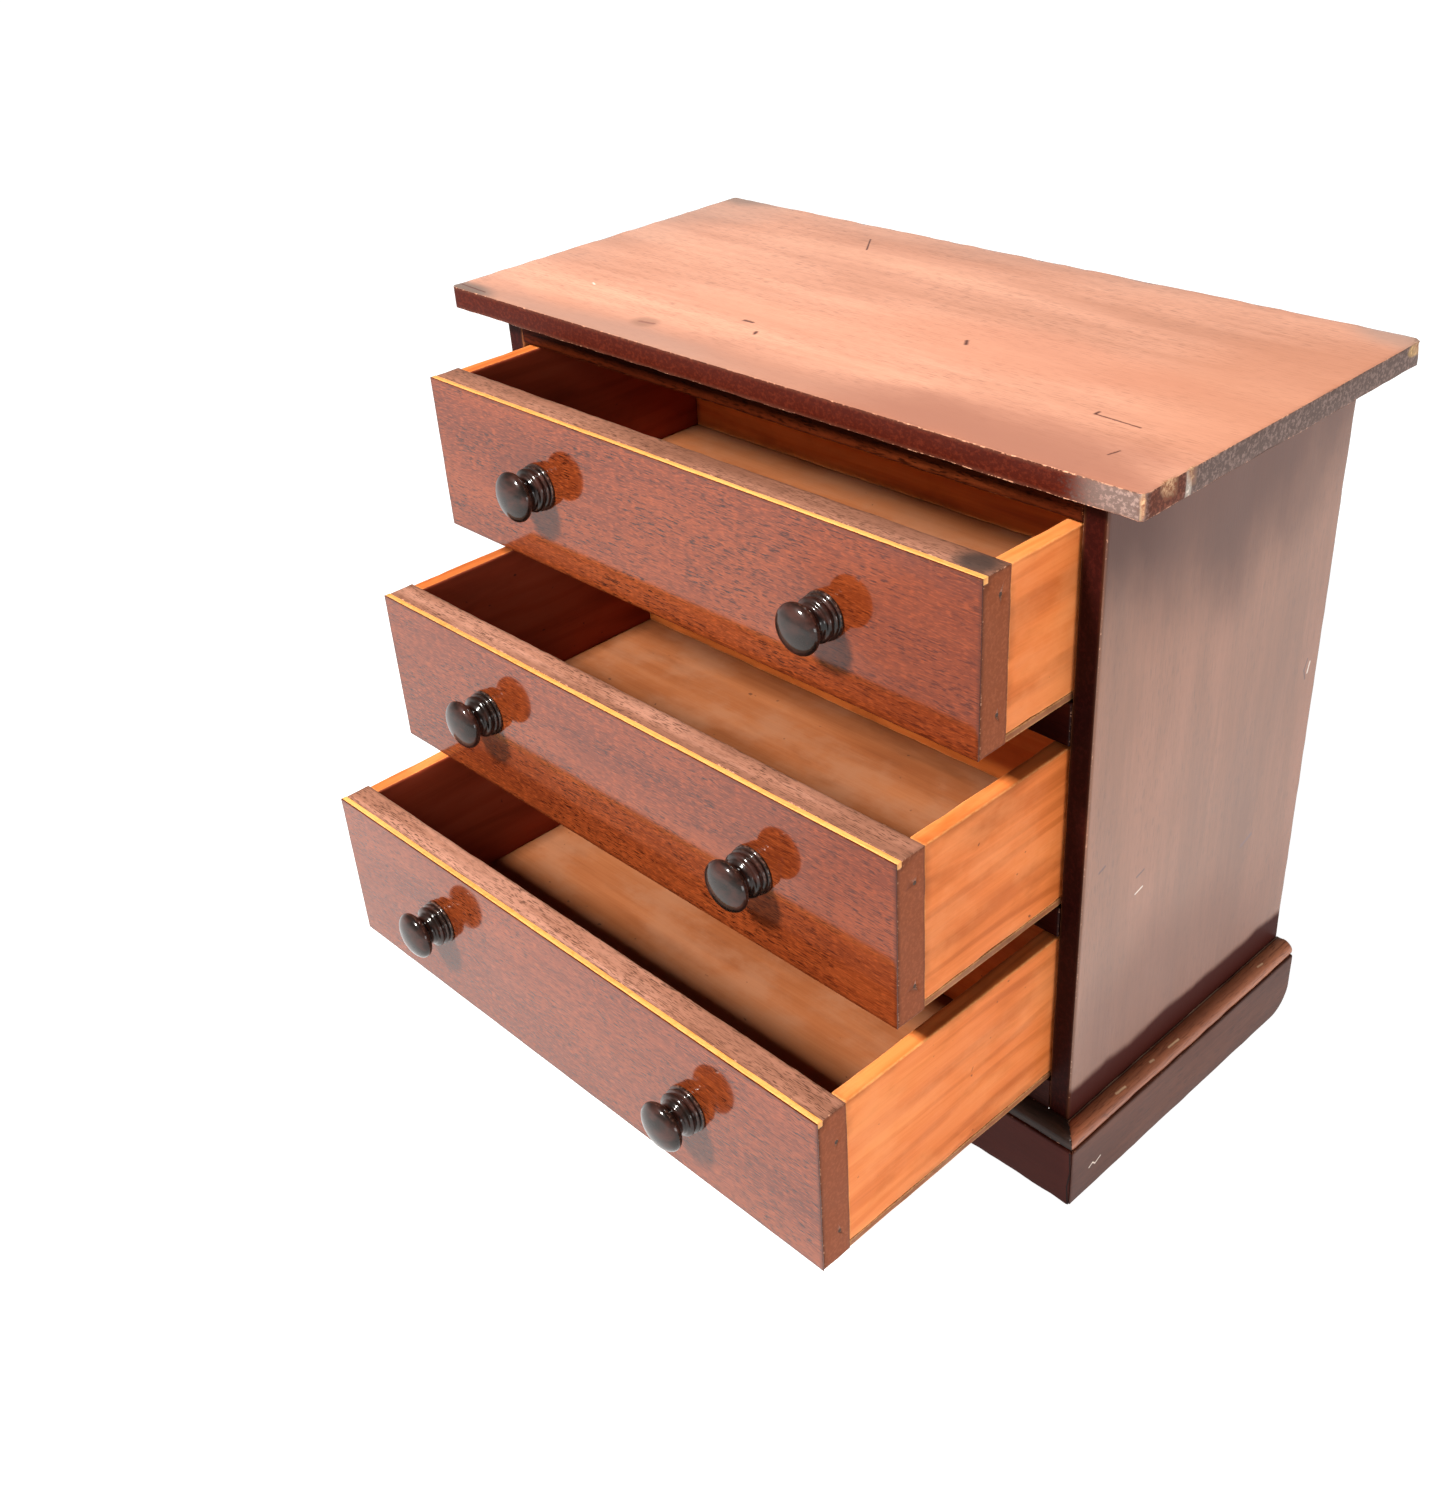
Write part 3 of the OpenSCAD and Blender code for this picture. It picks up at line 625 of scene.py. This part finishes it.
VENEER = mahogany(
    "front_veneer", [(0.076, 0.0120, 0.003), (0.112, 0.0200, 0.0045), (0.150, 0.030, 0.007)],
    pores=1.0, pore_size=(3.2, 0.42, 0.42), flecks=0.42, streaks=0.5, coat=(0.74, 0.08, 1.5),
    specular=0.02, grime=0.5, blotch=0.55, pale=(0.20, 0.06, 0.02), rubbed=0.4, dull=1.6,
    # These patches are painted shade: they darken the fronts' right parts and cut back the coat there
    patches=[(on_veneer("top_drawer", 128, -39, 222), (75, 60, 50), VENEER_PAINTED_SHADE, 0.28),
             (on_veneer("middle_drawer", 128, -74, 150), (60, 60, 50), VENEER_PAINTED_SHADE, 0.20)])
CORE = mahogany("front_core", [(0.17, 0.070, 0.042), (0.28, 0.125, 0.080), (0.40, 0.20, 0.14)],
                pores=0.9, pore_size=(3.0, 0.35, 0.35), coat=(0.0, 0.4, 1.5), specular=0.06, grime=0.4,
                rim=((0.21, 0.054, 0.020), (0.28, 0.080, 0.032), 1.0),
                patches=[(in_grain((119, -32, 254), X, DRAWER_SEEDS["top_drawer"]), (10, 9, 4),
                          (0.040, 0.028, 0.024), 0.9)])
LINE = pine("line_wood", [(0.50, 0.16, 0.022), (0.62, 0.235, 0.042), (0.76, 0.33, 0.08)], ring=2.0,
            roughness=0.45, blotch=0.3, coat=(0.2, 0.2, 1.5), grime=0.0)
SIDE_TONES = [(0.46, 0.105, 0.018), (0.64, 0.165, 0.036), (0.74, 0.23, 0.060)]
DRAWER_PINE = pine("drawer_pine", SIDE_TONES, dust=0.35, dust_tone=(0.78, 0.30, 0.11))
# The left sides carry painted shade on their inner faces
SHADED_PINE = pine("drawer_shaded_pine", SIDE_TONES, shade=(-120.5, (0.42, 0.22, 0.34)))
BACK_PINE = pine(
    "drawer_back_pine", [(0.46, 0.105, 0.018), (0.64, 0.165, 0.032), (0.74, 0.23, 0.055)],
    knot=(KNOT_SEED * GRAIN_STEP + 2, KNOT_SEED * GRAIN_SHIFT + 72, 4.2))
BOTTOM_PINE = pine(
    "drawer_bottom_pine", [(0.17, 0.048, 0.015), (0.24, 0.075, 0.025), (0.31, 0.11, 0.042)],
    dust=0.5, dust_tone=(0.29, 0.135, 0.072), blotch=0.35, ring=9.0, ring_depth=0.03)
HIDDEN_TONES = [(0.17, 0.068, 0.026), (0.28, 0.122, 0.048), (0.38, 0.18, 0.08)]
HIDDEN_PINE = pine("hidden_pine", HIDDEN_TONES, roughness=0.75)
# The bottom board's front edge shows under the bottom drawer
BOARD_PINE = pine(
    "bottom_board_pine", HIDDEN_TONES, roughness=0.75,
    facing=(in_grain((0, 4, 37), X, BOTTOM_BOARD_SEED), (400, 9, 30), (0.020, 0.0035, 0.002)))
KNOB = ebony("ebonised_knob", (0.008, 0.005, 0.004), (0.032, 0.011, 0.008))
IRON = iron("iron")


# ---- Carcass ----

def carcass():
    worn_copy("top_board", TOP, along=X, rounding=0.9, step=3.0, wear=0.4,
              reach=2.2, seed=TOP_SEED, broad=Z,
              chips=[((152.3, -6.6, 270), (1.0, 1.0, 7), (-0.7, 0.7, 0), 0.5),
                     ((152.5, 4.5, 272), (1.6, 3.0, 3), (-1, 0, 0), 0.5),
                     ((152.5, 14, 273), (1.2, 1.4, 3), (-1, 0, -0.3), 0.6),
                     ((151.5, 140, 273), (2.5, 2.5, 2.5), (-0.5, -0.5, -0.7), 0.8)])
    for hand, step_up in (("left", 0), ("right", 1)):
        worn_copy(f"{hand}_side", SIDE, along=Z, rounding=0.6, step=6.0,
                  wear=0.4, seed=RIGHT_SIDE_SEED - 1 + step_up, broad=X)
        worn_copy(f"plinth_{hand}", PLINTH, along=Y, rounding=0.8, wear=0.5,
                  seed=RIGHT_PLINTH_SEED - 1 + step_up)
        worn_copy(f"moulding_{hand}", MOULDING, along=Y, rounding=0.3,
                  wear=0.5, seed=RIGHT_MOULDING_SEED - 1 + step_up)
        for level in ("upper", "lower"):
            worn_copy(f"{level}_{hand}_runner", HIDDEN_PINE, along=Y, step=12.0,
                      seed=9 + step_up)
    worn_copy("plinth_front", PLINTH_FRONT_PAINTED_SHADE, along=X, rounding=0.8, wear=0.5,
              seed=FRONT_PLINTH_SEED)
    worn_copy("moulding_front", MOULDING_FRONT, along=X, rounding=0.2, wear=0.2,
              seed=FRONT_MOULDING_SEED)
    worn_copy("top_rail", TOP_RAIL, along=X, rounding=0.5, wear=0.5, seed=13)
    worn_copy("upper_rail", RAIL, along=X, rounding=0.5, seed=14)
    worn_copy("lower_rail", RAIL, along=X, rounding=0.5, seed=15)
    worn_copy("bottom_board", BOARD_PINE, along=X, step=10.0, seed=BOTTOM_BOARD_SEED,
              rounding=0.15, wear=0.0, fine=(0.5, 1.1, 2.2, 3.5))
    worn_copy("back_panel", HIDDEN_PINE, along=Z, step=10.0, seed=17)
    worn_copy("glue_blocks", HIDDEN_PINE, along=X, step=12.0, seed=18)


# ---- Drawers ----

def drawer(name, seed):
    worn_copy(f"{name}_front", CORE, along=X, rounding=0.35, wear=0.3, seed=seed,
              broad=Z)
    worn_copy(f"{name}_veneer", VENEER, along=X, rounding=0.15, wear=0.1,
              reach=0.9, step=6.0, seed=seed + PIECE_STEPS["veneer"], fine=(0.25, 1.0, 2.2))
    worn_copy(f"{name}_line", LINE, along=X, rounding=0.15, wear=0.15, reach=0.6,
              seed=seed + PIECE_STEPS["line"], fine=(0.3,))
    worn_copy(f"{name}_left_side", SHADED_PINE, along=Y, rounding=0.5, wear=0.4,
              seed=seed + PIECE_STEPS["left_side"], broad=X)
    worn_copy(f"{name}_right_side", DRAWER_PINE, along=Y, rounding=0.5, wear=0.4,
              seed=seed + PIECE_STEPS["right_side"])
    worn_copy(f"{name}_back", BACK_PINE, along=X, rounding=0.5, wear=0.4,
              seed=KNOT_SEED if name == "bottom_drawer" else seed + PIECE_STEPS["back"])
    worn_copy(f"{name}_bottom", BOTTOM_PINE, along=X, rounding=0.3,
              step=8.0, wear=0.2, seed=seed + PIECE_STEPS["bottom"])
    for piece in ("left_knob", "right_knob"):
        knob(f"{name}_{piece}", seed + PIECE_STEPS[piece])


# The radius of a full-size knob's head, in millimetres
KNOB_HEAD_R = 9.0


def arc(centre, radii, start, end, steps, worn):
    """Outline points along an arc, each with how worn it is."""
    turns = [math.radians(start + (end - start) * i / steps) for i in range(steps + 1)]
    return [(centre[0] + radii[0] * math.cos(t), centre[1] + radii[1] * math.sin(t), worn)
            for t in turns]


def knob_outline():
    """Radius and distance out from the drawer's face, in millimetres, with how worn each is."""
    return ([(0.0, 0.02, 0), (8.2, 0.02, 0), (8.48, 0.35, 0.9), (8.42, 0.9, 1), (8.05, 1.2, 0.3),
             (7.7, 1.35, 0)]
            + arc((7.35, 2.1), (0.84, 0.72), -55, 70, 6, 0.6)
            + [(7.35, 2.95, 0)]
            + arc((5.9, 4.25), (1.98, 1.25), -45, 75, 7, 0.15)
            + [(6.3, 5.65, 0)]
            + arc((6.8, 7.2), (1.4, 1.3), 240, 180, 5, 0)
            + [(5.5, 8.0, 0), (5.8, 8.7, 0)]
            + arc((6.4, 11.35), (2.58, 2.2), -75, 5, 8, 0.7)
            + arc((0, 11.35), (KNOB_HEAD_R - 0.02, 3.6), 8, 90, 12, 0.05))


def knob(node, seed, turns=72):
    """A knob turned about the CAD knob's axis, from its face disc to the crown."""
    low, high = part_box(node)
    size = (high.x - low.x) / (2 * KNOB_HEAD_R * MM)
    centre = Vector(((low.x + high.x) / 2, 0, (low.z + high.z) / 2))
    face_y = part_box(node.replace("left_knob", "veneer").replace("right_knob", "veneer"))[0].y
    mesh = bmesh.new()
    edge_layer = mesh.verts.layers.float.new("edge")
    grain_layer = mesh.verts.layers.float_vector.new("grain")
    rings = []
    for full_radius, out, worn in knob_outline():
        ring = []
        radius = full_radius * size
        for i in range(turns if radius > 0.01 else 1):
            a = 2 * math.pi * i / turns
            place = Vector((centre.x + radius * MM * math.cos(a), face_y - out * MM,
                            centre.z + radius * MM * math.sin(a)))
            place += (centre + Vector((0, place.y, 0)) - place) * 0.010 * abs(fractal(place, 5, seed))
            vertex = mesh.verts.new(place)
            vertex[edge_layer] = worn
            vertex[grain_layer] = (place - centre) / MM + Vector((seed * 31, 0, seed * 17))
            ring.append(vertex)
        rings.append(ring)
    for inner, outer in zip(rings, rings[1:]):
        for i in range(turns):
            j = (i + 1) % turns
            corners = [inner[i % len(inner)], inner[j % len(inner)], outer[j % len(outer)],
                       outer[i % len(outer)]]
            mesh.faces.new(list(dict.fromkeys(corners)))
    bmesh.ops.remove_doubles(mesh, verts=mesh.verts, dist=1e-7)
    bmesh.ops.recalc_face_normals(mesh, faces=mesh.faces)
    return finished_piece(mesh, node, KNOB)


carcass()
for drawer_name in DRAWERS:
    drawer(drawer_name, DRAWER_SEEDS[drawer_name])
for node_name, node_object in frame["nodes"].items():
    if slot_of_node[node_name] == "iron":
        node_object.data.materials.clear()
        node_object.data.materials.append(IRON)


# ---- Stage ----

def floor():
    """Pale paper that glows a little, so that shadows on it stay light."""
    half = 6.0
    mesh = bpy.data.meshes.new("floor")
    mesh.from_pydata([(-half, -half, 0), (half, -half, 0), (half, half, 0), (-half, half, 0)], [],
                     [(0, 1, 2, 3)])
    plane = bpy.data.objects.new("floor", mesh)
    bpy.context.scene.collection.objects.link(plane)
    s = Shader("floor_paper")
    s.bsdf.inputs["Base Color"].default_value = (0.37, 0.37, 0.37, 1)
    s.bsdf.inputs["Roughness"].default_value = 0.9
    s.bsdf.inputs["Specular IOR Level"].default_value = 0.0
    s.bsdf.inputs["Emission Color"].default_value = (1, 1, 1, 1)
    s.bsdf.inputs["Emission Strength"].default_value = 0.97
    mesh.materials.append(s.material)


def softbox(name, place, target, size, watts, colour=(1, 1, 1)):
    light = bpy.data.lights.new(name, "AREA")
    light.shape = "RECTANGLE"
    light.size, light.size_y = size
    light.energy = watts
    light.color = colour
    lamp = bpy.data.objects.new(name, light)
    bpy.context.scene.collection.objects.link(lamp)
    lamp.location = place
    lamp.rotation_euler = (Vector(target) - Vector(place)).to_track_quat("-Z", "Y").to_euler()


def sky():
    """A pale room: brightest near the horizon, dim overhead."""
    world = bpy.data.worlds.new("room")
    world.use_nodes = True
    bpy.context.scene.world = world
    tree = world.node_tree
    coords = tree.nodes.new("ShaderNodeTexCoord")
    parts = tree.nodes.new("ShaderNodeSeparateXYZ")
    ramp = tree.nodes.new("ShaderNodeValToRGB")
    tree.links.new(coords.outputs["Generated"], parts.inputs[0])
    tree.links.new(parts.outputs["Z"], ramp.inputs["Fac"])
    ramp.color_ramp.elements[0].position = 0.0
    ramp.color_ramp.elements[0].color = (1.0, 1.0, 1.0, 1)
    ramp.color_ramp.elements[1].position = 0.8
    ramp.color_ramp.elements[1].color = (0.07, 0.07, 0.08, 1)
    for height, grey in ((0.12, 0.70), (0.35, 0.20)):
        step = ramp.color_ramp.elements.new(height)
        step.color = (grey, grey, grey, 1)
    tree.links.new(ramp.outputs["Color"], tree.nodes["Background"].inputs["Color"])
    tree.nodes["Background"].inputs["Strength"].default_value = 1.1


def camera():
    """The view that the chest is shown from: high on its right, looking down to the left."""
    azimuth, elevation, roll = (math.radians(a) for a in (48.661, 32.473, -4.263))
    look = Vector((-math.sin(azimuth) * math.cos(elevation), math.cos(azimuth) * math.cos(elevation),
                   -math.sin(elevation)))
    data = bpy.data.cameras.new("camera")
    data.sensor_fit = "HORIZONTAL"
    data.sensor_width = 36.0
    data.lens = 41.26
    data.clip_start = 0.01
    eye = bpy.data.objects.new("camera", data)
    bpy.context.scene.collection.objects.link(eye)
    eye.location = Vector((370.4, -349.2, 454.8)) * MM
    upright = look.to_track_quat("-Z", "Y").to_matrix().to_4x4()
    turn = upright @ Matrix.Rotation(roll, 4, "Z")
    eye.rotation_euler = turn.to_euler()
    bpy.context.scene.camera = eye


floor()
sky()
softbox("window", (-0.13, -1.0, 1.08), (0, -0.03, 0.12), (0.2, 0.2), 52, (1.0, 0.97, 0.93))
softbox("side_card", (1.5, -0.25, 0.28), (0.12, -0.05, 0.12), (0.9, 0.35), 8)
camera()
view = bpy.context.scene.view_settings
view.view_transform = "Standard"
view.look = "None"
